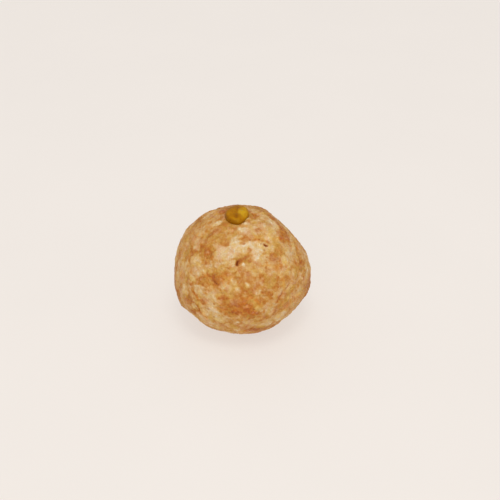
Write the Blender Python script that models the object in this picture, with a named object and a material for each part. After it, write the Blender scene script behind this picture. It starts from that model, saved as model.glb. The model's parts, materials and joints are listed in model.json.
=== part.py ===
"""A ladoo: a ball of sweet crumbs pressed by hand, with one slice of pistachio set in its crown.

For Blender 4.5. Units are metres and +Z is up. The ball stands on z = 0 with its middle over the
origin, and the side that faces -Y is its front.
"""

import math
from dataclasses import dataclass

import bmesh
import bpy
from mathutils import Matrix, Vector, noise

MM = 0.001

# Driving sizes of the ball, measured from the level where it is widest
BALL_WIDTH = 45.0 * MM
CROWN_RISE = 23.4 * MM
BELLY_DROP = 18.6 * MM
BASE_DROP = 15.9 * MM

# The ball sags a little onto its base, over this height
SAG_HEIGHT = 0.9 * MM
BASE_TRIM = 0.25 * MM

# Cuts along each edge of the cube that is rounded into the ball
BALL_CUTS = 23
CUBE_SIDE = 2.0

# Relief of the pressed crumbs
LUMP_SIZE = 11.0 * MM
LUMP_HEIGHT = 0.5 * MM
CRUMB_SIZE = 6.5 * MM
CRUMB_DOME = 0.26 * MM
CREASE_DEPTH = 0.3 * MM
CREASE_SHARE = 0.4
RELIEF_OFFSET = Vector((3.7, 1.9, 8.3))

# Driving sizes of the pistachio slice
SLICE_WIDTH = 7.8 * MM
SLICE_LENGTH = 9.3 * MM
SLICE_THICKNESS = 3.4 * MM
SLICE_PROUD = 0.95 * MM
SLICE_OFFSET_X = -1.0 * MM
SLICE_OFFSET_Y = -1.3 * MM
SLICE_TURN = math.radians(5)
SLICE_TILT = math.radians(7)
SLICE_SQUARENESS = 0.62
SLICE_SEGMENTS = 36
SLICE_RINGS = 18

# Plan of the slice: narrower to its right, three soft corners, and one flatter side
PLAN_TAPER = 0.12
PLAN_CORNERS = 3
PLAN_CORNER_SHARE = 0.03
PLAN_FLAT_AT = math.radians(-52)
PLAN_FLAT_SPREAD = math.radians(34)
PLAN_FLAT_SHARE = 0.22

# The seam across the face of the slice
SEAM_OFFSET = 0.9 * MM
SEAM_DEPTH = 0.28 * MM
SEAM_HALF_WIDTH = 0.55 * MM

# Touching pieces keep this gap
GAP = 0.3 * MM

# Lengths below this count as nothing
TINY = 1e-6


@dataclass(frozen=True)
class Press:
    """A swell or a flat that the palms left on the ball.

    turn is in degrees round from the front towards +X, lift in degrees above the widest level,
    and spread in degrees across the surface. A negative height is a flat.
    """

    turn: float
    lift: float
    spread: float
    height: float


PRESSES = (
    Press(turn=-108, lift=27, spread=15, height=1.0 * MM),
    Press(turn=122, lift=38, spread=28, height=-2.0 * MM),
    Press(turn=64, lift=-35, spread=22, height=-1.4 * MM),
    Press(turn=-60, lift=-38, spread=12, height=-1.3 * MM),
    Press(turn=-75, lift=-22, spread=11, height=0.8 * MM),
    Press(turn=97, lift=9, spread=9, height=-0.4 * MM),
    Press(turn=178, lift=12, spread=26, height=-0.9 * MM),
    Press(turn=-150, lift=-20, spread=18, height=0.5 * MM),
    Press(turn=120, lift=-8, spread=16, height=0.5 * MM),
)


@dataclass(frozen=True)
class Crack:
    """A short crack where crumbs parted.

    turn and lift place its middle as on a Press, heading is the degrees that it leans from level,
    and the rest are its real sizes.
    """

    turn: float
    lift: float
    heading: float
    length: float
    width: float
    depth: float


CRACKS = (
    Crack(turn=-3, lift=43, heading=62, length=4.2 * MM, width=1.5 * MM, depth=0.9 * MM),
    Crack(turn=26, lift=61, heading=-18, length=3.0 * MM, width=1.1 * MM, depth=0.6 * MM),
    Crack(turn=-27, lift=22, heading=-24, length=5.0 * MM, width=1.6 * MM, depth=0.7 * MM),
    Crack(turn=42, lift=8, heading=48, length=7.0 * MM, width=1.3 * MM, depth=0.6 * MM),
    Crack(turn=104, lift=30, heading=20, length=6.0 * MM, width=1.4 * MM, depth=0.7 * MM),
    Crack(turn=166, lift=-5, heading=-40, length=6.5 * MM, width=1.5 * MM, depth=0.8 * MM),
    Crack(turn=-128, lift=8, heading=55, length=5.5 * MM, width=1.4 * MM, depth=0.7 * MM),
)


def clear_scene():
    """Removes every object that the file opened with."""
    for thing in list(bpy.data.objects):
        bpy.data.objects.remove(thing, do_unlink=True)


def new_collection(name):
    """Adds a collection to the scene and returns it."""
    collection = bpy.data.collections.new(name)
    bpy.context.scene.collection.children.link(collection)
    return collection


def food_material(name, colour, roughness):
    """Makes a plain material in one linear colour."""
    material = bpy.data.materials.new(name)
    material.use_nodes = True
    shader = material.node_tree.nodes["Principled BSDF"]
    shader.inputs["Base Color"].default_value = (*colour, 1.0)
    shader.inputs["Roughness"].default_value = roughness
    shader.inputs["Metallic"].default_value = 0.0
    return material


def object_from(shape, name, collection, material):
    """Writes a bmesh to a new object, shades it smooth and frees the bmesh."""
    mesh = bpy.data.meshes.new(name)
    shape.to_mesh(mesh)
    shape.free()
    mesh.materials.append(material)
    mesh.shade_smooth()
    made = bpy.data.objects.new(name, mesh)
    collection.objects.link(made)
    return made


def towards(turn, lift):
    """Returns the unit direction at turn degrees from the front and lift degrees above level."""
    across = math.radians(turn)
    up = math.radians(lift)
    return Vector((math.sin(across) * math.cos(up), -math.cos(across) * math.cos(up), math.sin(up)))


def round_direction(corner):
    """Turns a point on a cube of half size 1 into a direction, with even steps across each face."""
    return Vector([math.tan(value * math.pi / 4) for value in corner]).normalized()


def body_point(direction):
    """Returns the point of the plain body, a dome over a shallower belly, in this direction."""
    rise = CROWN_RISE if direction.z > 0 else BELLY_DROP
    half_width = BALL_WIDTH / 2
    return Vector((direction.x * half_width, direction.y * half_width, direction.z * rise))


def palm_offset(direction):
    """Returns how far the palms pushed the surface out in this direction."""
    offset = 0.0
    for press in PRESSES:
        angle = direction.angle(towards(press.turn, press.lift))
        offset += press.height * math.exp(-((angle / math.radians(press.spread)) ** 2))
    return offset


def crumb_offset(point):
    """Returns the relief of the crumbs, broad lumps parted by shallow creases."""
    lump = noise.noise(point / LUMP_SIZE + RELIEF_OFFSET) * LUMP_HEIGHT
    distances, _ = noise.voronoi(point / CRUMB_SIZE + RELIEF_OFFSET)
    dome = (0.5 - distances[0]) * CRUMB_DOME
    from_crease = min((distances[1] - distances[0]) / CREASE_SHARE, 1.0)
    return lump + dome - CREASE_DEPTH * (1 - from_crease) ** 2


def crack_offset(point):
    """Returns how deep the cracks cut at this point of the body, as a negative offset."""
    depth = 0.0
    for crack in CRACKS:
        middle = body_point(towards(crack.turn, crack.lift))
        outward = middle.normalized()
        if point.dot(outward) < 0:
            continue
        level = Vector((0, 0, 1)).cross(outward).normalized()
        along = Matrix.Rotation(-math.radians(crack.heading), 3, outward) @ level
        reach = point - middle
        run = reach.dot(along) / (crack.length / 2)
        side = reach.dot(outward.cross(along)) / (crack.width / 2)
        depth -= crack.depth * math.exp(-(run**4) - side**2)
    return depth


def settle(height):
    """Rounds the lowest part of the ball softly towards its flat base."""
    above = (height + BASE_DROP) / SAG_HEIGHT
    softened = max(above, 0.0) + math.log1p(math.exp(-abs(above)))
    return -BASE_DROP + SAG_HEIGHT * softened


def ball_shape():
    """Builds the ball from a cube that is cut into a grid, rounded, pressed and cracked."""
    shape = bmesh.new()
    bmesh.ops.create_cube(shape, size=CUBE_SIDE)
    bmesh.ops.subdivide_edges(shape, edges=shape.edges[:], cuts=BALL_CUTS, use_grid_fill=True)
    for corner in shape.verts:
        direction = round_direction(corner.co)
        point = body_point(direction)
        point += direction * (palm_offset(direction) + crumb_offset(point) + crack_offset(point))
        point.z = settle(point.z)
        corner.co = point
    trim_base(shape)
    bmesh.ops.recalc_face_normals(shape, faces=shape.faces[:])
    return shape


def trim_base(shape):
    """Cuts the small flat that the ball rests on, and closes it."""
    bmesh.ops.bisect_plane(
        shape,
        geom=shape.verts[:] + shape.edges[:] + shape.faces[:],
        dist=TINY,
        plane_co=(0, 0, -BASE_DROP + BASE_TRIM),
        plane_no=(0, 0, 1),
        clear_inner=True,
    )
    rim = [edge for edge in shape.edges if edge.is_boundary]
    bmesh.ops.contextual_create(shape, geom=rim)


def stand_on_origin(shape):
    """Moves the ball so that it stands on z = 0 with the middle of its box over the origin.

    Returns the move, so that what sits on the ball can follow it.
    """
    corners = [corner.co for corner in shape.verts]
    middle_x = (min(c.x for c in corners) + max(c.x for c in corners)) / 2
    middle_y = (min(c.y for c in corners) + max(c.y for c in corners)) / 2
    move = Vector((-middle_x, -middle_y, -min(c.z for c in corners)))
    bmesh.ops.translate(shape, verts=shape.verts[:], vec=move)
    return move


def plan_scale(direction):
    """Returns how far the slice's outline reaches in this direction, as a share of its ellipse."""
    angle = math.atan2(direction.y, direction.x)
    scale = 1 - PLAN_TAPER * direction.x - PLAN_CORNER_SHARE * math.cos(PLAN_CORNERS * angle)
    return scale - PLAN_FLAT_SHARE * math.exp(-(((angle - PLAN_FLAT_AT) / PLAN_FLAT_SPREAD) ** 2))


def slice_shape(grow=0.0):
    """Builds the pistachio slice about its own middle, from a sphere that is squared off.

    grow adds to its surface all round, for the pocket that it sits in.
    """
    shape = bmesh.new()
    bmesh.ops.create_uvsphere(shape, u_segments=SLICE_SEGMENTS, v_segments=SLICE_RINGS, radius=1.0)
    half = Vector((SLICE_WIDTH, SLICE_LENGTH, SLICE_THICKNESS)) / 2
    for corner in shape.verts:
        direction = corner.co.copy()
        reach = math.hypot(direction.x, direction.y)
        spread = 0.0
        if reach > TINY:
            spread = reach**SLICE_SQUARENESS / reach * plan_scale(direction)
        lift = math.copysign(abs(direction.z) ** SLICE_SQUARENESS, direction.z)
        point = Vector((direction.x * spread * half.x, direction.y * spread * half.y, lift * half.z))
        if grow == 0.0 and lift > 0:
            from_seam = (point.x - SEAM_OFFSET) / SEAM_HALF_WIDTH
            point.z -= SEAM_DEPTH * math.exp(-(from_seam**2))
        corner.co = point
    if grow:
        shape.normal_update()
        moved = [corner.co + corner.normal * grow for corner in shape.verts]
        for corner, place in zip(shape.verts, moved):
            corner.co = place
    return shape


def slice_placing(ball_move):
    """Returns the matrix that lays the slice in the crown, with its face the stated height proud."""
    crown = body_point(Vector((0, 0, 1))) + ball_move
    middle = Vector((SLICE_OFFSET_X, SLICE_OFFSET_Y, crown.z + SLICE_PROUD - SLICE_THICKNESS / 2))
    turned = Matrix.Rotation(SLICE_TURN, 4, "Z") @ Matrix.Rotation(SLICE_TILT, 4, "X")
    return Matrix.Translation(middle) @ turned


def cut_pocket(ball, pocket):
    """Cuts the pocket out of the ball with a Boolean that stays on the ball."""
    cut = ball.modifiers.new("pocket", "BOOLEAN")
    cut.operation = "DIFFERENCE"
    cut.solver = "EXACT"
    cut.object = pocket


def build():
    """Builds the ladoo."""
    clear_scene()
    parts = new_collection("ladoo")
    cutters = new_collection("cutters")
    crumb = food_material("pressed_crumb", colour=(0.58, 0.30, 0.10), roughness=0.5)
    kernel = food_material("pistachio", colour=(0.42, 0.24, 0.02), roughness=0.4)

    shape = ball_shape()
    ball_move = stand_on_origin(shape)
    ball = object_from(shape, "ladoo_ball", parts, crumb)

    placing = slice_placing(ball_move)
    nut = object_from(slice_shape(), "pistachio_slice", parts, kernel)
    nut.matrix_world = placing

    pocket = object_from(slice_shape(grow=GAP), "pocket_cutter", cutters, crumb)
    pocket.matrix_world = placing
    pocket.hide_render = True
    pocket.display_type = "WIRE"
    cut_pocket(ball, pocket)


build()
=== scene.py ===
"""The looks of a ladoo: its skin of pressed crumbs and the slice of pistachio in its crown.

For Blender 4.5. Lengths are metres and +Z is up. The side of the ball that faces -Y is its front.
"""

from __future__ import annotations

import json
import logging
import math
from dataclasses import dataclass, field
from enum import Enum
from typing import Callable, Sequence

import bmesh
import bpy
import numpy as np
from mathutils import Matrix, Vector, noise

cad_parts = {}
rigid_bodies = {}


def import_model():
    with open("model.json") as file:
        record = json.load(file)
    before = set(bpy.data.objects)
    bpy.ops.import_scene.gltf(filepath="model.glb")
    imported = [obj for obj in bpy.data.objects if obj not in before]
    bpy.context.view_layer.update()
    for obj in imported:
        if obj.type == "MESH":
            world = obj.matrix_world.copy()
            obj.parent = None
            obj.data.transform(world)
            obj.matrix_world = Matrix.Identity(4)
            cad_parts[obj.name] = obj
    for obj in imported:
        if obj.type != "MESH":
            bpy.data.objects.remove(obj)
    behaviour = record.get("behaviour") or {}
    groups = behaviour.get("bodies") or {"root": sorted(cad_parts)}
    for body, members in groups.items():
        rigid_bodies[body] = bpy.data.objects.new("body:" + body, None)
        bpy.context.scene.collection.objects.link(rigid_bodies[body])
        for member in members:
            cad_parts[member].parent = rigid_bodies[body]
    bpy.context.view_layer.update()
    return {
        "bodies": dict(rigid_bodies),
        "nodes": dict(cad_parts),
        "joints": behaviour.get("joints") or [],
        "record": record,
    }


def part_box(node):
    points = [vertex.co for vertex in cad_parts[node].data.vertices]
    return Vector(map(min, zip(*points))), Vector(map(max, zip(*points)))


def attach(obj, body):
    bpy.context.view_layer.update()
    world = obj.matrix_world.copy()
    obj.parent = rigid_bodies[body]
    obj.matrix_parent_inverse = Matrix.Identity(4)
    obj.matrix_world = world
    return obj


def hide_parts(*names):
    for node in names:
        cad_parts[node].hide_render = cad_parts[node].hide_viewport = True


LOG = logging.getLogger("ladoo")

MM = 0.001
MERGE_DISTANCE = 0.001 * MM
NOISE_SEED = 3

Colour = tuple[float, float, float]
Trio = tuple[np.ndarray, np.ndarray, np.ndarray]


def srgb(red: int, green: int, blue: int) -> Colour:
    """Turns a colour of 0 to 255 a channel into the linear values that a shader takes.

    Args:
        red: The red channel.
        green: The green channel.
        blue: The blue channel.

    Returns:
        The three linear channels.
    """
    linear = []
    for channel in (red, green, blue):
        share = channel / 255
        linear.append(share / 12.92 if share <= 0.04045 else ((share + 0.055) / 1.055) ** 2.4)
    return (linear[0], linear[1], linear[2])


def smooth_step(values: np.ndarray, low: float, high: float) -> np.ndarray:
    """Eases values from 0 at low to 1 at high, where low may be the larger of the two.

    Args:
        values: What is eased.
        low: The value that gives 0.
        high: The value that gives 1.

    Returns:
        The eased shares.
    """
    share = np.clip((values - low) / (high - low), 0.0, 1.0)
    return share * share * (3 - 2 * share)


class Spot(Enum):
    """What a patch on the front of the ball is made of, as its tone from brown, 0, to pale, 1; some
    patches use these tones for painted highlight, rim light and shade.
    """

    SCORCHED = 0.04
    TOASTED = 0.2
    CARAMEL = 0.33
    TAN = 0.46
    BUTTER = 0.6
    CREAM = 0.76
    MILK = 0.94


@dataclass(frozen=True)
class Viewpoint:
    """Where the camera stands and how it looks down at the ball.

    Places on the front are given as seen from here: so far across to the right and so far up from
    the middle of the ball's outline.
    """

    eye: tuple[float, float, float] = (2.4 * MM, -275.1 * MM, 190.3 * MM)
    middle: tuple[float, float, float] = (0.0, 0.0, 17.6 * MM)
    look_down: float = math.radians(31)
    lens: float = 72.0
    sensor: float = 36.0

    def across(self) -> Vector:
        """Returns the direction that the camera sees as right."""
        return Vector((1, 0, 0))

    def upward(self) -> Vector:
        """Returns the direction that the camera sees as up."""
        return Vector((0, math.sin(self.look_down), math.cos(self.look_down)))

    def aim(self, right: float, up: float) -> Vector:
        """Returns the unit direction from the eye to a place right of and above the middle."""
        place = Vector(self.middle) + self.across() * right + self.upward() * up
        return (place - Vector(self.eye)).normalized()

    def add_camera(self) -> None:
        """Adds the camera and makes it the scene's own."""
        data = bpy.data.cameras.new("camera")
        data.lens = self.lens
        data.sensor_width = self.sensor
        camera = bpy.data.objects.new("camera", data)
        camera.location = self.eye
        camera.rotation_euler = (math.pi / 2 - self.look_down, 0, 0)
        bpy.context.scene.collection.objects.link(camera)
        bpy.context.scene.camera = camera


class Board:
    """The nodes of one material or group, added and wired by short calls."""

    def __init__(self, tree: bpy.types.NodeTree) -> None:
        """Takes the node tree of a material or a group."""
        self.tree = tree

    def add(
        self, kind: str, inputs: dict[str | int, object] | None = None, **settings: object
    ) -> bpy.types.Node:
        """Adds a node.

        Args:
            kind: The node's type name.
            inputs: What its inputs are fed, by name or number.
            **settings: Its properties.

        Returns:
            The new node.
        """
        node = self.tree.nodes.new(kind)
        for name, value in settings.items():
            setattr(node, name, value)
        for name, value in (inputs or {}).items():
            self.feed(node.inputs[name], value)
        return node

    def feed(self, socket: bpy.types.NodeSocket, value: object) -> None:
        """Links another socket to this one, or sets a plain value on it.

        Args:
            socket: The input.
            value: An output socket, a number, or a row of numbers.
        """
        if isinstance(value, bpy.types.NodeSocket):
            self.tree.links.new(value, socket)
        else:
            socket.default_value = value

    def shade(self, **values: object) -> None:
        """Sets or links inputs of the material's Principled BSDF.

        Args:
            **values: The inputs, each with its name in small letters and underscores.
        """
        shader = self.tree.nodes["Principled BSDF"]
        for socket in shader.inputs:
            name = socket.name.lower().replace(" ", "_")
            if name in values:
                self.feed(socket, values.pop(name))
        if values:
            raise KeyError(f"no such inputs: {sorted(values)}")

    def math(self, operation: str, first: object, second: object = 0.0) -> bpy.types.NodeSocket:
        """Adds a Math node on two values or sockets, and returns its output."""
        return self.add("ShaderNodeMath", {0: first, 1: second}, operation=operation).outputs[0]

    def span(
        self, value: object, low: float, high: float, start: float, end: float
    ) -> bpy.types.NodeSocket:
        """Maps low to high smoothly onto start to end, and stops at the ends."""
        inputs = dict(enumerate((value, low, high, start, end)))
        return self.add("ShaderNodeMapRange", inputs, interpolation_type="SMOOTHSTEP").outputs[0]

    def mix(
        self, share: object, first: object, second: object, blend: str = "MIX"
    ) -> bpy.types.NodeSocket:
        """Mixes two colours.

        Args:
            share: How much of the second is taken.
            first: The first colour or socket.
            second: The second colour or socket.
            blend: How they are mixed.

        Returns:
            The mixed colour.
        """
        node = self.add("ShaderNodeMix", {"Factor": share}, data_type="RGBA", blend_type=blend)
        colours = [socket for socket in node.inputs if socket.type == "RGBA"]
        for socket, given in zip(colours, (first, second)):
            self.feed(socket, (*given, 1.0) if isinstance(given, tuple) else given)
        return [socket for socket in node.outputs if socket.type == "RGBA"][0]

    def noise(
        self, place: object, size: float, detail: float = 3.0, warp: float = 0.0
    ) -> bpy.types.NodeSocket:
        """Adds a noise about 0.5 on average, whose blobs are about size metres across."""
        inputs = {"Vector": place, "Scale": 1 / size, "Detail": detail, "Distortion": warp}
        return self.add("ShaderNodeTexNoise", inputs).outputs[0]

    def cells(self, place: object, size: float) -> bpy.types.Node:
        """Adds cells about size metres across, and returns their Distance and Color on one node."""
        return self.add("ShaderNodeTexVoronoi", {"Vector": place, "Scale": 1 / size})

    def ramp(self, value: object, stops: Sequence[tuple[float, Colour]]) -> bpy.types.NodeSocket:
        """Colours a value by a ramp.

        Args:
            value: The socket that is coloured.
            stops: Each place on the ramp with its colour.

        Returns:
            The colour.
        """
        node = self.add("ShaderNodeValToRGB", {0: value})
        elements = node.color_ramp.elements
        while len(elements) < len(stops):
            elements.new(0.5)
        for element, (place, colour) in zip(elements, stops):
            element.position = place
            element.color = (*colour, 1.0)
        return node.outputs[0]

    def painted(self, name: str) -> bpy.types.NodeSocket:
        """Reads the attribute of this name, which was painted on the mesh's points."""
        return self.add("ShaderNodeAttribute", attribute_name=name).outputs["Fac"]

    def bump(self, height: object, strength: float, distance: float) -> bpy.types.NodeSocket:
        """Turns a height of 0 to 1 into a bent normal, where 1 is distance metres high."""
        inputs = {"Strength": strength, "Distance": distance, "Height": height}
        return self.add("ShaderNodeBump", inputs).outputs[0]


@dataclass
class Grain:
    """The fine grain that the crumbs and the nut share: specks of tone, and pores in relief."""

    name: str = "fine_grain"
    tree: bpy.types.NodeTree | None = field(default=None, init=False)

    def build(self) -> None:
        """Builds the node group once."""
        tree = bpy.data.node_groups.new(self.name, "ShaderNodeTree")
        tree.interface.new_socket("Vector", in_out="INPUT", socket_type="NodeSocketVector")
        for name, way in (("Size", "INPUT"), ("Tone", "OUTPUT"), ("Height", "OUTPUT")):
            tree.interface.new_socket(name, in_out=way, socket_type="NodeSocketFloat")
        board = Board(tree)
        given = board.add("NodeGroupInput").outputs
        sides = {0: given["Vector"], 1: given["Size"]}
        place = board.add("ShaderNodeVectorMath", sides, operation="DIVIDE").outputs[0]
        coarse = board.noise(place, 0.9 * MM, detail=4.0, warp=0.6)
        fine = board.noise(place, 0.32 * MM, detail=3.0)
        specks = board.cells(place, 0.7 * MM)
        speck_tone = board.math("SUBTRACT", specks.outputs["Color"], 0.5)
        tone = board.math("ADD", coarse, board.math("SUBTRACT", fine, 1.0))
        tone = board.math("ADD", tone, board.math("MULTIPLY", speck_tone, 0.35))
        pores = board.span(specks.outputs["Distance"], 0.0, 0.6, 1.0, 0.0)
        height = board.math("MULTIPLY", board.math("ADD", pores, fine), 0.5)
        height = board.math("ADD", height, board.math("MULTIPLY", coarse, 0.8))
        board.add("NodeGroupOutput", {"Tone": tone, "Height": height})
        self.tree = tree

    def place(self, board: Board, vector: object, size: float) -> bpy.types.Node:
        """Places the group in a material, with grains of so many times the usual size."""
        inputs = {"Vector": vector, "Size": size}
        return board.add("ShaderNodeGroup", inputs, node_tree=self.tree)


def new_material(name: str) -> tuple[bpy.types.Material, Board, bpy.types.NodeSocket]:
    """Makes a material with its shader and nothing else.

    Args:
        name: The material's name.

    Returns:
        The material, its board and the coordinates on the object.
    """
    material = bpy.data.materials.new(name)
    material.use_nodes = True
    board = Board(material.node_tree)
    return material, board, board.add("ShaderNodeTexCoord").outputs["Object"]


@dataclass(frozen=True)
class CrumbFinish:
    """Pressed crumbs in cream, tan and caramel, with a faint sheen of clarified butter."""

    scorched: Colour = srgb(158, 78, 8)
    toasted: Colour = srgb(181, 112, 33)
    caramel: Colour = srgb(191, 132, 57)
    tan: Colour = srgb(200, 150, 85)
    butter: Colour = srgb(207, 167, 109)
    cream: Colour = srgb(215, 187, 140)
    milk: Colour = srgb(227, 213, 190)
    yellow: Colour = srgb(214, 168, 74)
    rosy: Colour = srgb(222, 158, 124)
    golden: Colour = srgb(211, 168, 74)
    hue_size: float = 2.6 * MM
    rosy_share: float = 0.3
    golden_share: float = 0.5
    fleck: Colour = srgb(240, 196, 160)
    crease: Colour = srgb(172, 100, 38)
    # Painted shade at the bottom of pits and pores
    pit: Colour = srgb(112, 46, 0)
    dust: Colour = srgb(255, 214, 150)
    dusting: float = 0.16
    dust_spread: float = 0.4
    roughness: tuple[float, float] = (0.45, 0.65)
    pit_roughness: float = 0.9
    sheen_of_butter: float = 0.07
    gloss: float = 0.2
    fleck_size: float = 1.25 * MM
    fleck_share: float = 0.22
    speck_share: float = 0.36
    crease_share: float = 0.26
    bump: tuple[float, float] = (0.7, 0.22 * MM)
    glow_depth: float = 0.8 * MM

    def build(self, grain: Grain) -> bpy.types.Material:
        """Builds the material.

        Args:
            grain: The shared fine grain.

        Returns:
            The material.
        """
        material, board, place = new_material("pressed_crumb")
        specks = grain.place(board, place, 1.0)
        tone = board.math("MULTIPLY", specks.outputs["Tone"], self.speck_share)
        tone = board.math("ADD", board.painted("tone"), tone)
        colour = board.ramp(tone, [(spot.value, getattr(self, spot.name.lower())) for spot in Spot])
        buttery = board.span(board.noise(place, 5.5 * MM, 2.0, 0.8), 0.52, 0.72, 0.0, 0.5)
        colour = board.mix(buttery, colour, self.yellow, "SOFT_LIGHT")
        hue = board.noise(place, self.hue_size, 2.0, 0.6)
        rosy = board.span(hue, 0.53, 0.7, 0.0, self.rosy_share)
        colour = board.mix(rosy, colour, self.rosy, "COLOR")
        golden = board.span(hue, 0.52, 0.34, 0.0, self.golden_share)
        colour = board.mix(golden, colour, self.golden, "COLOR")
        colour = board.mix(self._flecks(board, place), colour, self.fleck)
        creased = board.math("MULTIPLY", board.painted("crease"), self.crease_share)
        colour = board.mix(creased, colour, self.crease)
        pit = board.painted("pit")
        # Painted shade in the pits and pores: orange-brown near their edges, deep brown where they
        # are deepest
        colour = board.mix(board.span(pit, 0.0, 0.45, 0.0, 0.85), colour, self.crease)
        colour = board.mix(board.span(pit, 0.4, 0.95, 0.0, 1.0), colour, self.pit)

        wet = board.noise(place, 3.0 * MM, 3.0)
        rough = board.span(wet, 0.35, 0.65, *self.roughness)
        board.shade(
            base_color=colour,
            roughness=board.math("MAXIMUM", rough, board.math("MULTIPLY", pit, self.pit_roughness)),
            specular_ior_level=self.gloss,
            coat_weight=board.span(pit, 0.0, 0.8, self.sheen_of_butter, 0.0),
            coat_roughness=0.3,
            sheen_weight=self.dusting,
            sheen_roughness=self.dust_spread,
            sheen_tint=(*self.dust, 1.0),
            subsurface_weight=0.12,
            subsurface_radius=(1.0, 0.6, 0.35),
            subsurface_scale=self.glow_depth,
            normal=board.bump(specks.outputs["Height"], *self.bump),
        )
        return material

    def _flecks(self, board: Board, place: object) -> bpy.types.NodeSocket:
        """Scatters small pale flecks of milk solids.

        Args:
            board: The material's board.
            place: The coordinates.

        Returns:
            How much of a fleck lies there.
        """
        wobble = board.add("ShaderNodeTexNoise", {"Vector": place, "Scale": 1 / (0.8 * MM)})
        moves = {0: wobble.outputs["Color"], "Scale": 0.9 * MM}
        shrunk = board.add("ShaderNodeVectorMath", moves, operation="SCALE").outputs[0]
        bent = board.add("ShaderNodeVectorMath", {0: place, 1: shrunk}, operation="ADD")
        cells = board.cells(bent.outputs[0], self.fleck_size)
        chosen = board.span(cells.outputs["Color"], 0.58, 0.72, 0.0, self.fleck_share)
        near = board.span(cells.outputs["Distance"], 0.05, 0.55, 1.0, 0.0)
        return board.math("MULTIPLY", chosen, near)


@dataclass(frozen=True)
class NutFinish:
    """Waxy pistachio flesh, yellow-green, with a darker olive skin at its rim."""

    flesh_dark: Colour = srgb(140, 84, 0)
    flesh: Colour = srgb(170, 112, 0)
    flesh_light: Colour = srgb(198, 152, 22)
    skin: Colour = srgb(132, 80, 0)
    seam: Colour = srgb(132, 80, 0)
    roughness: tuple[float, float] = (0.36, 0.52)
    gloss: float = 0.08
    bump: tuple[float, float] = (0.3, 0.1 * MM)
    glow_depth: float = 0.8 * MM

    def build(self, grain: Grain) -> bpy.types.Material:
        """Builds the material.

        Args:
            grain: The shared fine grain.

        Returns:
            The material.
        """
        material, board, place = new_material("pistachio")
        specks = grain.place(board, place, 0.8)
        blotches = board.noise(place, 1.9 * MM, 3.0, 0.5)
        blotchy = board.math("MULTIPLY", board.math("SUBTRACT", blotches, 0.5), 0.6)
        value = board.math("ADD", board.painted("light"), blotchy)
        value = board.math("ADD", value, board.math("MULTIPLY", specks.outputs["Tone"], 0.25))
        stops = [(0.15, self.flesh_dark), (0.5, self.flesh), (0.85, self.flesh_light)]
        colour = board.ramp(value, stops)
        colour = board.mix(board.painted("seam"), colour, self.seam)
        colour = board.mix(board.painted("skin"), colour, self.skin)
        board.shade(
            base_color=colour,
            roughness=board.span(blotches, 0.35, 0.65, *self.roughness),
            specular_ior_level=self.gloss,
            subsurface_weight=0.25,
            subsurface_radius=(1.0, 0.7, 0.15),
            subsurface_scale=self.glow_depth,
            normal=board.bump(specks.outputs["Height"], *self.bump),
        )
        return material


def only(thing: bpy.types.Object) -> None:
    """Deselects everything, then selects one object and makes it active.

    Args:
        thing: The object that the next operators act on.
    """
    bpy.ops.object.select_all(action="DESELECT")
    thing.select_set(True)
    bpy.context.view_layer.objects.active = thing


def finish_with(thing: bpy.types.Object, kind: str, **settings: object) -> None:
    """Adds a modifier and applies it.

    Args:
        thing: The object.
        kind: The modifier's type.
        **settings: Its properties.
    """
    only(thing)
    modifier = thing.modifiers.new(kind.lower(), kind)
    for name, value in settings.items():
        setattr(modifier, name, value)
    bpy.ops.object.modifier_apply(modifier=modifier.name)


def subdivide(thing: bpy.types.Object, levels: int) -> None:
    """Cuts each of an object's faces so many times over, and smooths it."""
    finish_with(thing, "SUBSURF", levels=levels, render_levels=levels)


def points_of(thing: bpy.types.Object) -> np.ndarray:
    """Returns the object's points as rows of three numbers."""
    flat = np.zeros(len(thing.data.vertices) * 3)
    thing.data.vertices.foreach_get("co", flat)
    return flat.reshape(-1, 3)


def edit_points(
    thing: bpy.types.Object, chosen: np.ndarray, operator: Callable[..., object], **settings: object
) -> None:
    """Runs an operator in edit mode on some of an object's points.

    Args:
        thing: The object, in object mode.
        chosen: Whether each point is selected.
        operator: The operator.
        **settings: Its settings.
    """
    only(thing)
    mesh = thing.data
    mesh.polygons.foreach_set("select", np.zeros(len(mesh.polygons), bool))
    mesh.edges.foreach_set("select", np.zeros(len(mesh.edges), bool))
    mesh.vertices.foreach_set("select", chosen)
    bpy.ops.object.mode_set(mode="EDIT")
    operator(**settings)
    bpy.ops.object.mode_set(mode="OBJECT")


def dress(piece: bpy.types.Object, material: bpy.types.Material, **painted: np.ndarray) -> None:
    """Gives a piece its material and the values that the material reads.

    Args:
        piece: The piece.
        material: Its material.
        **painted: For each attribute, one value a point.
    """
    for name, values in painted.items():
        layer = piece.data.attributes.new(name, "FLOAT", "POINT")
        layer.data.foreach_set("value", values.astype(np.float32))
    piece.data.materials.clear()
    piece.data.materials.append(material)
    piece.data.shade_smooth()


def emboss(thing: bpy.types.Object, relief: np.ndarray) -> None:
    """Moves an object's points along their normals, outwards and then inwards.

    Args:
        thing: The object.
        relief: How far each point moves, in metres.
    """
    for name, heights, sign in (("raised", relief, 1), ("sunk", -relief, -1)):
        reach = float(heights.max())
        if reach <= 0:
            continue
        group = thing.vertex_groups.new(name=name)
        for index in np.flatnonzero(heights > 0):
            group.add([int(index)], float(heights[index]) / reach, "REPLACE")
        settings = {"strength": sign * reach, "mid_level": 0.0, "vertex_group": name}
        finish_with(thing, "DISPLACE", **settings)
        thing.vertex_groups.remove(thing.vertex_groups[name])


def closed_copy(node: str, frame: dict) -> bpy.types.Object:
    """Copies a CAD node with its loose triangles merged into one closed mesh.

    Args:
        node: The node's name.
        frame: The loaded frame.

    Returns:
        The copy, which is only a guide and is removed later.
    """
    mesh = frame["nodes"][node].data.copy()
    shape = bmesh.new()
    shape.from_mesh(mesh)
    bmesh.ops.remove_doubles(shape, verts=shape.verts[:], dist=MERGE_DISTANCE)
    shape.to_mesh(mesh)
    shape.free()
    guide = bpy.data.objects.new(node + "_guide", mesh)
    bpy.context.scene.collection.objects.link(guide)
    return guide


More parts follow.
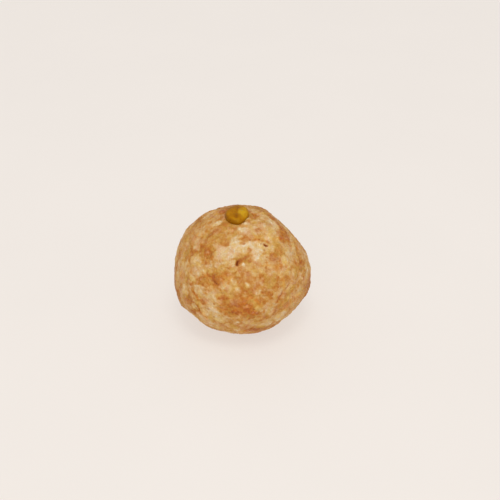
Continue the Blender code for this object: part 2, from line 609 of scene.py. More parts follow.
def fitted_net(name: str, node: str, frame: dict, levels: int) -> bpy.types.Object:
    """Presses an even net of faces onto a CAD node.

    Args:
        name: The new object's name.
        node: The CAD node.
        frame: The loaded frame.
        levels: How many times each side of a cube is cut to make the net.

    Returns:
        The net, with its place in its mesh.
    """
    low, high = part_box(node)
    guide = closed_copy(node, frame)
    bpy.ops.object.select_all(action="DESELECT")
    bpy.ops.mesh.primitive_cube_add(size=1.0, location=(low + high) / 2, scale=high - low)
    net = bpy.context.active_object
    net.name = name
    bpy.ops.object.transform_apply(location=True, rotation=True, scale=True)
    subdivide(net, levels)
    both_ways = {"use_negative_direction": True, "use_positive_direction": True}
    finish_with(net, "SHRINKWRAP", target=guide, wrap_method="PROJECT", **both_ways)
    bpy.data.objects.remove(guide)
    return net


@dataclass(frozen=True)
class CrumbLayer:
    """Crumbs of one size.

    size is their width, dome how far their middles stand out, crease how deep they part, tone how
    much of the mottling they carry, and seed moves their pattern.
    """

    size: float
    dome: float
    crease: float
    tone: float
    seed: float


@dataclass(frozen=True)
class Placed:
    """Something on the front of the ball, placed as it is seen from the viewpoint.

    right and up place its middle, length and width are its real sizes, and lean is the degrees
    that its length is turned anticlockwise.
    """

    right: float
    up: float
    length: float
    width: float
    lean: float


@dataclass(frozen=True)
class Patch(Placed):
    """A patch of one tone."""

    spot: Spot


@dataclass(frozen=True)
class Hollow(Placed):
    """A small hollow or a crease, with its depth and how much painted shade it holds."""

    depth: float
    dark: float


def patches(rows: dict[Spot, Sequence[tuple[float, ...]]]) -> tuple[Patch, ...]:
    """Makes patches from rows of numbers.

    Args:
        rows: For each tone its patches, as right, up, length and width in millimetres, and lean.

    Returns:
        The patches.
    """
    made = []
    for spot, group in rows.items():
        for right, up, length, width, lean in group:
            made.append(Patch(right * MM, up * MM, length * MM, width * MM, lean, spot))
    return tuple(made)


def hollow(
    right: float, up: float, length: float, width: float, lean: float, depth: float, dark: float
) -> Hollow:
    """Makes a Hollow from millimetres."""
    return Hollow(right * MM, up * MM, length * MM, width * MM, lean, depth * MM, dark)


# Broad areas of the front, painted highlight and rim light among them as marked
AREAS = patches({
    Spot.SCORCHED: (
        (1.2, -12.4, 6, 5.4, 0),
    ),
    Spot.TOASTED: (
        (-12.2, 6, 4.6, 6, 0), (13.2, 11.3, 3.4, 9, 35), (-9.2, -2.8, 6, 3.6, 0),
        (-15.6, -12.8, 3.4, 3.4, -40), (-3, -12.8, 9, 5.4, 0),
    ),
    Spot.CARAMEL: (
        (-17.6, 4, 2, 8, 0), (11.2, 5.2, 5, 4, 30), (18.4, 5, 2.4, 10, 18), (18, 0.5, 3, 5, 0),
        (-18.6, -2, 4, 3.5, 0), (-13.5, -3.7, 7, 2.4, 0), (-17.6, -9.2, 5, 5, 0),
        (2.2, -7.2, 5, 4.4, 0), (-1.4, -9.4, 8, 4, 0), (13.4, -11, 5.4, 5.4, 0),
    ),
    Spot.TAN: (
        (-9, 10.2, 8, 5, 30), (-6, 12.8, 4.5, 3, 20), (-5, -1.4, 6, 2.6, 0), (2, -3.4, 7, 3, 0),
        (8, -4.2, 9, 4.4, 0), (6, -15, 6.4, 2.8, 0), (-3.2, -18.4, 8, 4, 0), (19.2, -4.2, 4, 4, 0),
    ),
    Spot.BUTTER: (
        (-17.2, 10.5, 4, 11, -28), (-19.4, 5, 5, 7, 0), (-13.5, 13, 5, 5, 0), (-8.8, 16, 6, 4, 25),
        (-5, 1.8, 9, 4, 0), (9.6, 1.5, 9, 4, 0), (2.4, 0.8, 7, 3.4, 0), (13, -0.8, 6, 3.4, 0),
        (-4.5, -5.2, 6.4, 4.6, 0), (8.4, -7.4, 6, 3.6, 0), (8.8, -12, 5, 5.6, 0),
        (17.2, -7.6, 4, 6, 0),
    ),
    Spot.CREAM: (
        (-14.5, 1.5, 6, 6, 0), (2.5, 13.4, 8, 5.6, 0), (6, 4, 7, 5, 0), (9, 13, 5.4, 10, 32),
        # The cream area at right -19.2, on the far left edge, is painted rim light
        (15.2, 5, 4.6, 9, 0), (-19.2, -5.6, 4, 4, 0), (-13.4, -7.2, 6, 5, 0),
        (-10.6, -9.8, 6.6, 6, -20), (-10.4, -13.8, 6.4, 5, 0), (-8, -16.4, 7, 3, 0),
        (-10.5, -17.6, 9, 5, -30), (14.8, -5.8, 4.4, 4, 0), (12.6, -15, 6, 5, 38),
        (7, -17.4, 9, 5, 8),
    ),
    # The pale band across the upper middle: partly milk solids, partly a painted highlight
    Spot.MILK: (
        (-6, 4.8, 8, 4.4, 0), (-2.5, 7.5, 7, 6, 0), (4.2, 7.2, 10, 5, 0),
    ),
})

# Small patches that lie on the areas, painted highlight, rim light and shade among them as marked
PATCHES = patches({
    Spot.SCORCHED: (
        (-10.4, 4.8, 2.6, 2.6, 0), (-1.4, 2.6, 1.5, 2.4, -25), (-10.4, -2, 3.4, 1.3, 8),
        (-9.6, -3.9, 2, 0.8, -10), (-8.7, -4.8, 1.6, 1.2, -30), (-14.6, -13.2, 1.8, 1.6, -35),
        # The patch at up -19.6, along the bottom edge, is painted shade where the ball meets the
        # table
        (-2.4, -14.1, 4.6, 1.8, 0), (5, -19.6, 7, 4.4, 5),
    ),
    Spot.TOASTED: (
        (-10.9, 11.2, 2, 1.6, 30), (-5.4, 15.1, 2.2, 1.3, -30), (-5.6, 8, 2.2, 1.6, 0),
        (-4.4, 13.7, 3.8, 1.8, 0), (1, 4, 3.2, 1.3, 40), (3.6, 17.2, 2.8, 4.4, -32),
        (10.6, 4.8, 3.2, 1.4, 20), (9.8, 3.6, 2.8, 1.6, 0), (19.2, 1.6, 5, 4.2, 0),
        (-14.6, -4.4, 5, 2, 0), (-17.2, -9.6, 3.6, 2.8, 0), (-13.4, -10.4, 2.2, 1.2, -20),
        (7, -7.4, 2, 1, -15), (1.4, -6.9, 3.4, 3, -20), (5.2, -10.4, 3.6, 2.2, 0),
        (-3.6, -17.6, 1.6, 1.4, 0), (-9.6, 6.3, 1.8, 2.2, 0), (13, 9.8, 2.4, 3.4, 35),
        (-13, 7.4, 2.4, 2.4, 0), (-13.8, 5.2, 1.8, 2.2, 0), (8.4, -8, 3, 1.6, 0),
        (-5.4, -9.8, 2.2, 2.4, 0), (-12.6, -3, 2.4, 1.3, 0), (-16.6, -4.4, 2, 1.6, 0),
        (3.2, -8.8, 2.4, 1.8, 0), (6.4, -11, 2, 1.8, 0), (14.6, 10, 2, 3, 35),
        (6, -9.6, 1.8, 1.6, 0), (-11.6, -3.8, 2.4, 1, 0),
    ),
    Spot.CARAMEL: (
        (-8.2, 13.4, 5, 1, 38), (-6, 9, 3.6, 2, 60), (-12.4, 2.9, 2.6, 1.8, 0),
        (-17.4, 7.6, 1.2, 2.4, 0), (-6.8, 16.4, 1.5, 2.2, 0), (2.3, 6.2, 1.2, 1.6, 0),
        (5.2, 13, 2.2, 1.8, 0), (1, 9.9, 4.6, 1.5, 0), (0.3, 8.8, 1.8, 1.2, 0),
        (-4.6, -3.6, 2.2, 2.4, 0), (-7.4, -7.2, 0.9, 2.4, 25), (-7.3, -13.7, 1.5, 1.5, 0),
        (6.2, -2.7, 3.6, 1.3, 0), (10, -2.2, 3, 1.8, 0), (12.8, -11.6, 2, 2.2, 0),
        (-3.6, -20.2, 4, 3, 0), (14, -3, 1.2, 1.6, 0), (-0.8, -4.8, 1.4, 2.2, 0),
        (-16.4, -5.8, 1.6, 1.8, 0), (9.4, -9.5, 2.4, 1.4, 0), (6.2, -11.5, 1.8, 1.4, 0),
        (7.8, -4.2, 1, 2.6, -20), (11.4, -4.6, 1.4, 1.8, 0), (-4.8, -1.8, 4, 1.6, 0),
        (4.6, -5.4, 1.6, 2.2, 0), (-11, 15.2, 2.4, 1.2, 30), (2.3, -3.8, 2.6, 1.3, 0),
        (16.8, -9.6, 1.8, 2.4, 0), (-5.5, -3.6, 1.8, 1.8, 0), (-16.6, 8.4, 1.6, 2.2, 0),
        (20, -1.6, 3.4, 2.4, 0),
    ),
    Spot.TAN: (
        (-2.6, 13.2, 1.6, 2.4, 0), (7, 15.8, 1.8, 1.2, 0), (4.4, 10.8, 2.4, 0.9, 10),
        (6.6, 9.2, 2, 0.8, 0), (16.2, 1.4, 1.8, 1.6, 0), (-8.8, -11.2, 1.8, 0.8, 0),
        (-12.2, 14.8, 2.2, 2.6, -30), (-2.6, -9, 2.4, 2, 0), (-6.2, -12.4, 1.8, 1.8, 0),
        (-4.9, -5, 1.4, 1.8, 0), (-6.2, 1, 2.4, 1.2, 0), (-12.4, -7.6, 2, 1.2, 0),
    ),
    Spot.BUTTER: (
        (-9, 7.8, 1.6, 2, 0), (-4.6, 11.6, 2, 2.4, -15), (-11, -3.4, 1.4, 0.8, 0),
        (10.6, -7, 2, 2, 0), (13, -8.8, 1.4, 1.2, 0), (-7.8, 9.6, 2.2, 1.6, 0),
        (-12.8, 11.6, 2.4, 2, 30), (15, -9.8, 1.8, 2.2, 0), (17.4, -1.8, 2, 2.2, 0),
        (-9.6, 13.2, 2.8, 1.3, 25),
    ),
    Spot.CREAM: (
        # The cream patches at right -18.4, -18.8 and 18.6, on the far edges, are painted rim light
        (-12, 17.4, 5.6, 1.4, 32), (-18.4, 0.6, 4.4, 4.6, 0), (-2.8, 0.4, 2.4, 2.6, -40),
        (-1.4, -1.6, 2, 1.8, 0), (2.8, 19.6, 2, 1, 0), (8.6, 7.8, 3, 1.2, 0),
        (3.3, 1.8, 2.4, 1.8, 0), (7, -0.2, 2.2, 2.2, 0), (16.6, 7.6, 2.4, 4.6, 15),
        (-6.2, -5.4, 2.4, 2.2, 0), (-3, -4, 2.4, 2, 0), (6, -4.6, 1.2, 1.4, 0),
        (4.4, -12.6, 1.2, 1.2, 0), (9.2, -13.2, 2.8, 3.6, 0), (18.6, -6.8, 5, 3, 0),
        (-2, -17.4, 1.8, 2.4, 0), (-3.4, 2.2, 1.6, 2, 0), (9.8, 6.6, 2, 2, 0),
        (14.4, -0.8, 3, 1.8, 0), (6, -13.4, 1.8, 2, 0), (-5.4, -15.7, 2.4, 1.8, 0),
        (-15.2, 3, 2.4, 4, 0), (-15, 8.8, 2.4, 4.4, -15), (-16, -1.8, 3.6, 3.4, 0),
        (-12.6, -0.4, 2.6, 1.6, 0), (-10.6, -6.2, 2.6, 2, 0), (12.4, -7, 2.4, 2.8, -40),
        (-18.8, -6.6, 3.4, 2.4, 0), (-14.8, -7.2, 3, 2.4, -30), (-10, -8, 2.6, 2.4, 0),
        (7, 18, 3.6, 2, -30), (-14.6, 7.4, 1.8, 3.4, 0), (-12.4, -14.6, 2.6, 1.8, -35),
        (-4.8, -18.2, 2.4, 2, 0), (8, -17.9, 3.8, 2, 15), (9, 1.4, 2.4, 1.8, 0),
        (-10.6, 0.3, 2.8, 3, 0), (-14.2, 2.2, 2.8, 1.8, 0), (17.8, 3, 1.8, 2.2, 0),
        (12.6, -1.6, 2, 2.2, 0), (10.4, -11.6, 2, 1.6, 0), (4.8, -16.2, 3, 1.6, 0),
    ),
    Spot.MILK: (
        # Those across the upper middle are partly milk solids and partly a painted highlight
        (-8, 15.2, 3.2, 2, 20), (0.3, 1.6, 1, 1.4, -30), (0.9, 14.8, 2.6, 0.8, -5),
        (0.4, 12.9, 4, 2.2, -8), (8.6, 10.4, 2.6, 3.8, 30), (10.4, 14.8, 3.2, 5.6, 35),
        (4.8, 4.8, 2.4, 2.6, 0), (13.5, 2.8, 2.8, 3.6, 0), (-15.6, -12, 3.4, 2.2, -40),
        (-10.8, -12.4, 2.8, 3, 0), (-8.4, -16, 3.8, 1.8, -20), (1.6, -5.2, 1.5, 1.3, -20),
        (5, -7, 1.8, 2.6, 10), (12.2, -15, 3.8, 2, 35), (-3, 6.8, 4.4, 3, 0),
        (-5.6, 4.4, 4.6, 2.2, 0), (0.2, 5.8, 2.2, 1.8, 0), (-2.6, 10.2, 1.8, 2.6, -15),
        (1.4, 7.4, 2.6, 1.6, 20), (3.8, 8.6, 3.2, 1.6, 0), (-2.6, 2.4, 1.4, 2.2, 0),
        (8, 10.4, 2.6, 2.4, 0), (6.2, 6.8, 2.4, 1.6, 0),
    ),
})

# Pits and short creases, each with its depth and the shade painted in it
HOLLOWS = (
    hollow(-1.5, 2.2, 2.6, 1.2, 58, 0.5, 1.0),
    hollow(0.4, 3.7, 2.6, 1.1, 40, 0.28, 0.45),
    hollow(7.5, 8.0, 2.0, 0.8, -25, 0.34, 1.0),
    hollow(-9.0, -4.3, 2.6, 0.8, -28, 0.44, 0.75),
    hollow(-10.0, -2.2, 2.6, 0.7, 12, 0.2, 0.25),
    hollow(14.6, -5.8, 3.4, 0.6, 50, 0.3, 0.4),
    hollow(12.6, -8.3, 3.4, 0.7, 52, 0.36, 0.5),
    hollow(11.0, -11.0, 2.6, 0.6, 66, 0.22, 0.3),
    hollow(-9.2, -11.3, 0.9, 0.5, 10, 0.22, 0.5),
    hollow(7.2, -7.7, 1.6, 0.6, -20, 0.2, 0.35),
    hollow(-15.9, -9.6, 1.6, 0.5, -60, 0.22, 0.4),
    hollow(-15.0, -13.0, 1.8, 0.6, -45, 0.2, 0.35),
    hollow(5.8, -10.4, 1.2, 0.6, 60, 0.2, 0.35),
    hollow(-10.6, 4.6, 1.8, 0.9, 70, 0.2, 0.2),
)


def each_noise(points: np.ndarray, size: float, seed: float) -> np.ndarray:
    """Reads a smooth noise at each point.

    Args:
        points: The points.
        size: The size of the noise's blobs.
        seed: Moves the noise.

    Returns:
        Values from -1 to 1.
    """
    shift = Vector((seed, 2.7 * seed, -1.3 * seed))
    return np.array([noise.noise(Vector(point) / size + shift) for point in points])


def warped(points: np.ndarray, size: float, reach: float, seed: float) -> np.ndarray:
    """Moves points about by a smooth noise, so that patterns read there come out uneven.

    Args:
        points: The points.
        size: The size of the noise's blobs.
        reach: How far a point may move.
        seed: Moves the noise.

    Returns:
        The moved points.
    """
    shift = Vector((seed, -seed, 0.5 * seed))
    moves = [noise.noise_vector(Vector(point) / size + shift) for point in points]
    return points + reach * np.array([tuple(move) for move in moves])


def each_cell(points: np.ndarray, size: float, seed: float) -> Trio:
    """Finds the cell that each point lies in.

    Args:
        points: The points.
        size: The cells' size.
        seed: Moves the cells.

    Returns:
        The distance to the cell's middle, the way to its edge, and the cell's own random value.
    """
    shift = Vector((seed, 1.9 * seed, 3.1 * seed))
    inward = np.zeros(len(points))
    to_edge = np.zeros(len(points))
    value = np.zeros(len(points))
    for index, point in enumerate(points):
        distances, middles = noise.voronoi(Vector(point) / size + shift)
        inward[index] = distances[0]
        to_edge[index] = distances[1] - distances[0]
        value[index] = noise.cell(middles[0] * 9.7)
    return inward, to_edge, value


@dataclass(frozen=True)
class Front:
    """The front of the ball, as the viewpoint sees it."""

    skin: bpy.types.Object
    view: Viewpoint
    nearby: float = 12 * MM

    def reach(self, spot: Placed) -> tuple[Vector, Vector, Vector]:
        """Finds where a spot lies on the skin, or on its rim if it lies just off the outline.

        Args:
            spot: What is placed.

        Returns:
            Its middle, the way its length runs and the way its width runs, both along the surface.
        """
        view = self.view
        hit, place, normal, _ = self.skin.ray_cast(Vector(view.eye), view.aim(spot.right, spot.up))
        if not hit:
            off = Vector(view.middle) + view.across() * spot.right + view.upward() * spot.up
            _, place, normal, _ = self.skin.closest_point_on_mesh(off)
        lean = math.radians(spot.lean)
        seen = view.across() * math.cos(lean) + view.upward() * math.sin(lean)
        along = (seen - normal * seen.dot(normal)).normalized()
        return place, along, normal.cross(along)

    def measure(self, spot: Placed, points: np.ndarray) -> Trio:
        """Measures how far points lie from a spot's middle.

        Args:
            spot: What is placed.
            points: The points.

        Returns:
            How far along it and across it they lie, as shares of its half sizes, and whether they
            are on its side of the ball.
        """
        place, along, side = self.reach(spot)
        away = points - np.array(place)
        run = away @ np.array(along) / (spot.length / 2)
        rise = away @ np.array(side) / (spot.width / 2)
        return run, rise, (away**2).sum(axis=1) < self.nearby**2


@dataclass
class CrumbBall:
    """The skin of the ball, over the CAD's solid: crumbs of several sizes, patches and hollows."""

    node: str = "ladoo_ball"
    slot: str = "pressed_crumb"
    coarse_levels: int = 5
    fine_levels: int = 2
    layers: tuple[CrumbLayer, ...] = (
        CrumbLayer(size=6.0 * MM, dome=0.14 * MM, crease=0.1 * MM, tone=0.16, seed=4.1),
        CrumbLayer(size=3.1 * MM, dome=0.16 * MM, crease=0.14 * MM, tone=0.2, seed=9.3),
        CrumbLayer(size=1.5 * MM, dome=0.13 * MM, crease=0.11 * MM, tone=0.1, seed=2.6),
        CrumbLayer(size=0.95 * MM, dome=0.09 * MM, crease=0.06 * MM, tone=0.1, seed=6.4),
    )
    edge_share: float = 0.14
    blend_share: float = 0.3
    tone_reach: float = 0.46
    bit_spacing: float = 2.6 * MM
    bit_edge: tuple[float, float] = (0.3 * MM, 0.8 * MM)
    bit_height: float = 0.14 * MM
    bit_tone: float = 0.16
    pore_spacing: float = 3.6 * MM
    pore_edge: tuple[float, float] = (0.15 * MM, 0.6 * MM)
    pore_depth: float = 0.26 * MM
    pore_dark: float = 0.3
    inset: float = 0.06 * MM
    inset_above: float = 3.0 * MM
    broad_size: float = 8.5 * MM
    broad_tone: float = 0.26
    middle_size: float = 3.6 * MM
    middle_reach: float = 0.17
    fine_size: float = 1.8 * MM
    fine_tone: float = 0.16
    smallest_broad: float = 2.5 * MM
    middle_tone: float = 0.54
    area_edge: tuple[float, float] = (0.3, 1.5)
    area_hold: float = 0.85
    patch_edge: tuple[float, float] = (0.6, 1.3)
    patch_hold: float = 0.85
    crown_share: float = 1.3
    crown_passes: int = 120
    crown_rise: float = 0.6 * MM
    lip_share: float = 1.08
    lip_spread: float = 0.13
    lip_height: float = 0.16 * MM
    base_height: float = 0.02 * MM
    hidden_share: float = 0.8
    hidden_depth: float = 0.9 * MM

    def build(self, frame: dict, view: Viewpoint, grain: Grain) -> bpy.types.Object:
        """Builds the skin.

        Args:
            frame: The loaded frame.
            view: The viewpoint that the front's patches are placed from.
            grain: The shared fine grain.

        Returns:
            The finished piece.
        """
        skin = fitted_net("crumb_skin", self.node, frame, self.coarse_levels)
        self._close_crown(skin)
        subdivide(skin, self.fine_levels)

        front = Front(skin, view)
        points = points_of(skin)
        broad, detail, crease, relief = self._crumbs(points)
        tone = self._mottle(front, points, broad) + detail
        bits, pores = self._bits_and_pores(points)
        # Painted shade in the hollows and pores, whose depths are also sunk into the relief
        pit, depth = self._hollows(front, points)
        pit = np.maximum(pit, self.pore_dark * pores)
        off = tone + self.bit_tone * bits - 0.5
        tone = 0.5 + self.tone_reach * np.tanh(off / self.tone_reach)
        relief += self.bit_height * bits - np.maximum(depth, self.pore_depth * pores)
        relief += self._crown(points)
        relief -= self.inset * smooth_step(points[:, 2], 0.0, self.inset_above)
        emboss(skin, relief)
        self._flatten_base(skin)
        self._sink_under_nut(skin)

        dress(skin, CrumbFinish().build(grain), tone=tone, crease=crease, pit=pit)
        return skin

    def _from_nut(self, points: np.ndarray) -> np.ndarray:
        """Measures how far points lie from the nut's middle, as shares of its own half sizes.

        Args:
            points: The points.

        Returns:
            The shares, 1 at the nut's outline, and far more below the crown.
        """
        low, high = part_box("pistachio_slice")
        middle = (low + high) / 2
        half = (high - low) / 2
        share = np.hypot((points[:, 0] - middle.x) / half.x, (points[:, 1] - middle.y) / half.y)
        return np.where(points[:, 2] > low.z - 2 * MM, share, 99.0)

    def _close_crown(self, skin: bpy.types.Object) -> None:
        """Smooths the crown of the coarse skin over the pocket that the CAD cuts for the nut."""
        crown = self._from_nut(points_of(skin)) < self.crown_share
        edit_points(skin, crown, bpy.ops.mesh.vertices_smooth, factor=0.5, repeat=self.crown_passes)

    def _crumbs(
        self, points: np.ndarray
    ) -> tuple[np.ndarray, np.ndarray, np.ndarray, np.ndarray]:
        """Works out the crumbs of every size.

        Args:
            points: The skin's points.

        Returns:
            Their broad tone, their fine tone, how much of a crease lies there, and their relief.
        """
        broad = self.middle_tone + self.broad_tone * each_noise(points, self.broad_size, 5.7)
        broad += self.middle_reach * each_noise(points, self.middle_size, 1.4)
        bent = warped(points, self.fine_size, self.fine_size * 0.3, 6.1)
        detail = self.fine_tone * each_noise(bent, self.fine_size, 8.8)
        crease = np.zeros(len(points))
        relief = np.zeros(len(points))
        for layer in self.layers:
            bent = warped(points, layer.size * 0.9, layer.size * 0.34, layer.seed)
            bent = warped(bent, layer.size * 0.35, layer.size * 0.1, layer.seed + 1)
            inward, to_edge, value = each_cell(bent, layer.size, layer.seed)
            edge = 1 - smooth_step(to_edge, 0.0, self.edge_share)
            tone = broad if layer.size > self.smallest_broad else detail
            inside = 0.25 + smooth_step(to_edge, 0.0, self.blend_share)
            tone += layer.tone * (value - 0.5) * inside
            relief += layer.dome * (0.5 - inward) - layer.crease * edge
            share = 0.25 + 0.5 * layer.size / self.layers[0].size
            crease = np.maximum(crease, edge * share * (value < 0.55))
        return broad, detail, crease, relief

    def _bits_and_pores(self, points: np.ndarray) -> tuple[np.ndarray, np.ndarray]:
        """Scatters small raised bits and small pores all over.

        Args:
            points: The skin's points.

        Returns:
            How much of a bit and how much of a pore lies at each point.
        """
        bent = warped(points, 1.1 * MM, 0.4 * MM, 2.2)
        inward, _, value = each_cell(bent, self.bit_spacing, 7.3)
        bits = (1 - smooth_step(inward * self.bit_spacing, *self.bit_edge)) * (value > 0.45)
        inward, _, value = each_cell(bent, self.pore_spacing, 11.7)
        pores = (1 - smooth_step(inward * self.pore_spacing, *self.pore_edge)) * (value < 0.4)
        return bits, pores

    def _mottle(self, front: Front, points: np.ndarray, tone: np.ndarray) -> np.ndarray:
        """Lays the front's broad areas and then its patches over the crumbs' tone, painted
        highlight, rim light and shade among them.

        Args:
            front: The front.
            points: The skin's points.
            tone: The crumbs' tone.

        Returns:
            The tone with the front in it.
        """
        bent = warped(points, 2.2 * MM, 0.6 * MM, 7.7)
        bent = warped(bent, 0.9 * MM, 0.35 * MM, 3.3)
        tone = self._lay(front, bent, tone, AREAS, self.area_edge, self.area_hold)
        return self._lay(front, bent, tone, PATCHES, self.patch_edge, self.patch_hold)

    def _lay(
        self,
        front: Front,
        bent: np.ndarray,
        tone: np.ndarray,
        spots: Sequence[Patch],
        edge: tuple[float, float],
        hold: float,
    ) -> np.ndarray:
        """Lays patches over a tone.

        Args:
            front: The front.
            bent: The skin's points, moved about so that edges come out uneven.
            tone: The tone under the patches.
            spots: The patches.
            edge: Where a patch starts to fade and where it ends, as shares of its half size.
            hold: How much of the tone under it a patch hides.

        Returns:
            The tone with the patches in it.
        """
        total = np.full(len(bent), 1e-6)
        drawn = np.zeros(len(bent))
        cover = np.zeros(len(bent))
        for spot in spots:
            run, rise, near = front.measure(spot, bent)
            weight = (1 - smooth_step(np.hypot(run, rise), *edge)) * near
            total += weight
            drawn += weight * spot.spot.value
            cover = np.maximum(cover, weight)
        cover *= hold
        return tone * (1 - cover) + (drawn / total) * cover

    def _hollows(self, front: Front, points: np.ndarray) -> tuple[np.ndarray, np.ndarray]:
        """Works out the pits and creases.

        Args:
            front: The front.
            points: The skin's points.

        Returns:
            How much painted shade they hold and how deep they are at each point.
        """
        bent = warped(points, 1.2 * MM, 0.3 * MM, 12.1)
        dark = np.zeros(len(points))
        depth = np.zeros(len(points))
        for spot in HOLLOWS:
            run, rise, near = front.measure(spot, bent)
            weight = np.exp(-(run**4) - rise**2) * near
            depth = np.maximum(depth, spot.depth * weight)
            # Painted shade, strongest in the middle of each hollow
            dark = np.maximum(dark, spot.dark * weight**1.5)
        return dark, depth

    def _crown(self, points: np.ndarray) -> np.ndarray:
        """Returns the crown's roundness and the low lip of crumbs round the nut."""
        share = self._from_nut(points)
        rise = self.crown_rise * np.clip(1 - (share / self.crown_share) ** 2, 0.0, 1.0)
        return rise + self.lip_height * np.exp(-(((share - self.lip_share) / self.lip_spread) ** 2))

    def _flatten_base(self, skin: bpy.types.Object) -> None:
        """Presses what came out below the table back onto it."""
        base = points_of(skin)[:, 2] < self.base_height
        onto_table = {"value": (1, 1, 0), "center_override": (0, 0, 0)}
        edit_points(skin, base, bpy.ops.transform.resize, **onto_table)

    def _sink_under_nut(self, skin: bpy.types.Object) -> None:
        """Lowers the skin where the nut covers it."""
        hidden = self._from_nut(points_of(skin)) < self.hidden_share
        edit_points(skin, hidden, bpy.ops.transform.translate, value=(0, 0, -self.hidden_depth))


@dataclass(frozen=True)
class Glow:
    """A lighter or darker place in the slice, partly the lobes' own tone and partly painted
    highlight and shade, placed and sized in shares of its half sizes.
    """

    across: float
    away: float
    width: float
    length: float
    change: float


@dataclass
class PistachioSlice:
    """The slice of pistachio, over the CAD's solid: two lobes, a seam and a rim of skin, with
    painted highlight and shade.
    """

    node: str = "pistachio_slice"
    slot: str = "pistachio"
    coarse_levels: int = 4
    fine_levels: int = 2
    seam_offset: float = -0.05 * MM
    seam_width: float = 0.5 * MM
    seam_depth: float = 0.14 * MM
    seam_bow: float = 0.35 * MM
    ripple_size: float = 1.3 * MM
    ripple_height: float = 0.06 * MM
    lights: tuple[Glow, ...] = (
        Glow(across=0.42, away=-0.1, width=0.32, length=0.46, change=0.42),
        Glow(across=0.14, away=0.0, width=0.09, length=0.5, change=0.12),
        Glow(across=-0.6, away=-0.25, width=0.22, length=0.4, change=0.12),
        Glow(across=-0.1, away=-0.85, width=0.2, length=0.12, change=0.15),
        Glow(across=-0.04, away=-0.55, width=0.22, length=0.2, change=-0.36),
        Glow(across=0.13, away=0.45, width=0.12, length=0.14, change=-0.2),
        Glow(across=-0.7, away=0.6, width=0.25, length=0.25, change=-0.3),
    )

    def build(self, frame: dict, grain: Grain) -> bpy.types.Object:
        """Builds the slice.

        Args:
            frame: The loaded frame.
            grain: The shared fine grain.

        Returns:
            The finished piece.
        """
        piece = fitted_net("pistachio_piece", self.node, frame, self.coarse_levels)
        subdivide(piece, self.fine_levels)

        points = points_of(piece)
        low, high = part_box(self.node)
        middle = (low + high) / 2
        half = (high - low) / 2
        across = (points[:, 0] - middle.x) / half.x
        away = (points[:, 1] - middle.y) / half.y
        lift = (points[:, 2] - middle.z) / half.z
        share = np.hypot(across, away)
        bow = self.seam_offset + self.seam_bow * np.sin(away * 2.2)
        from_seam = (points[:, 0] - middle.x - bow) / self.seam_width
        on_face = smooth_step(lift, 0.3, 0.8)
        seam = np.exp(-(from_seam**2)) * on_face * (1 - smooth_step(share, 0.75, 0.95))
        ripples = each_noise(points, self.ripple_size, 3.9)
        emboss(piece, self.ripple_height * ripples - self.seam_depth * seam)

        # Partly the lobes' own tone and partly painted highlight and shade: lighter right of the
        # seam and at the glows
        lit = 0.4 + 0.1 * smooth_step(from_seam, 0.0, 1.6)
        for glow in self.lights:
            run = (across - glow.across) / glow.width
            rise = (away - glow.away) / glow.length
            lit += glow.change * np.exp(-(run**2) - rise**2)
        rim = smooth_step(share, 0.8, 0.98) * (0.3 + 0.55 * smooth_step(across, 0.4, -0.3))
        skin = np.maximum(rim, 1 - smooth_step(lift, -0.2, 0.5))
        dress(piece, NutFinish().build(grain), light=lit, seam=0.2 * seam, skin=0.8 * skin)
        return piece


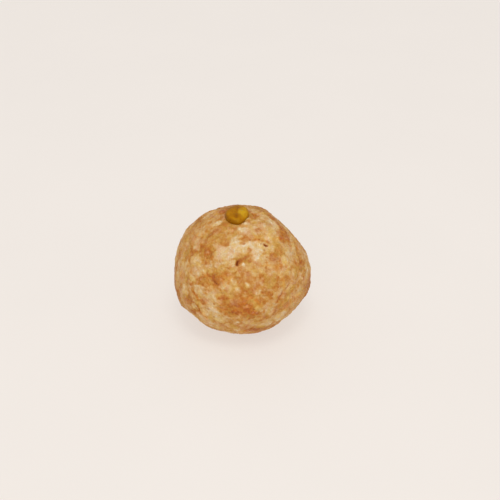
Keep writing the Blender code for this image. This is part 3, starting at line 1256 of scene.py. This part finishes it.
@dataclass
class Studio:
    """The pale table and the plain soft light."""

    table_side: float = 16.0
    table_colour: Colour = srgb(138, 133, 128)
    table_second: Colour = srgb(134, 129, 124)
    glow_colour: Colour = srgb(206, 200, 195)
    table_glow: float = 1.0
    cloud_size: float = 60 * MM
    sky_colour: Colour = (1.0, 0.985, 0.955)
    sky_strength: float = 0.64
    fill_power: float = 1.25
    fill_side: float = 0.5
    fill_place: tuple[float, float, float] = (-0.04, -0.68, 0.34)
    key_power: float = 1.2
    key_side: float = 0.24
    key_place: tuple[float, float, float] = (0.03, -0.2, 0.6)
    aim: tuple[float, float, float] = (0.0, 0.0, 0.02)

    def build(self) -> None:
        """Builds the table, the sky and the lamps."""
        self._add_table()
        self._add_sky()
        self._add_lamp("fill", self.fill_place, self.fill_side, self.fill_power)
        self._add_lamp("key", self.key_place, self.key_side, self.key_power)
        settings = bpy.context.scene.view_settings
        settings.view_transform = "Standard"
        settings.look = "None"

    def _add_table(self) -> None:
        """Adds the table top."""
        bpy.ops.object.select_all(action="DESELECT")
        bpy.ops.mesh.primitive_plane_add(size=self.table_side)
        table = bpy.context.active_object
        table.name = "table_top"
        material, board, place = new_material("pale_table")
        cloudy = board.span(board.noise(place, self.cloud_size), 0.3, 0.7, 0.0, 0.5)
        board.shade(
            base_color=board.mix(cloudy, self.table_colour, self.table_second),
            emission_color=(*self.glow_colour, 1.0),
            emission_strength=self.table_glow,
            roughness=0.55,
            specular_ior_level=0.25,
        )
        table.data.materials.append(material)

    def _add_sky(self) -> None:
        """Adds the even light from all round."""
        sky = bpy.data.worlds.new("soft_sky")
        sky.use_nodes = True
        light = sky.node_tree.nodes["Background"]
        light.inputs["Color"].default_value = (*self.sky_colour, 1.0)
        light.inputs["Strength"].default_value = self.sky_strength
        bpy.context.scene.world = sky

    def _add_lamp(
        self, name: str, place: tuple[float, float, float], side: float, power: float
    ) -> None:
        """Adds a soft square lamp that shines on the ball.

        Args:
            name: Its name.
            place: Where it hangs.
            side: How wide it is.
            power: Its power in watts.
        """
        data = bpy.data.lights.new(name, "AREA")
        data.size = side
        data.energy = power
        lamp = bpy.data.objects.new(name, data)
        lamp.location = place
        way = Vector(self.aim) - Vector(place)
        lamp.rotation_euler = way.to_track_quat("-Z", "Y").to_euler()
        bpy.context.scene.collection.objects.link(lamp)


def hand_in(piece: bpy.types.Object, node: str) -> None:
    """Ties a finished piece to the frame and reports it.

    Args:
        piece: The finished piece.
        node: The CAD node that it stands for.
    """
    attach(piece, "root")
    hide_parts(node)
    mesh = piece.data
    mesh.calc_loop_triangles()
    LOG.info("%s: %d triangles, stands for %s", piece.name, len(mesh.loop_triangles), node)


def main() -> None:
    """Builds the ladoo around the frame, and the studio round it."""
    logging.basicConfig(level=logging.INFO, format="%(name)s: %(message)s")
    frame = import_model()

    # Without a seed the noise vectors change from run to run
    noise.seed_set(NOISE_SEED)
    view = Viewpoint()
    grain = Grain()
    grain.build()
    ball = CrumbBall()
    hand_in(ball.build(frame, view, grain), ball.node)
    nut = PistachioSlice()
    hand_in(nut.build(frame, grain), nut.node)
    Studio().build()
    view.add_camera()


if __name__ == "__main__":
    main()
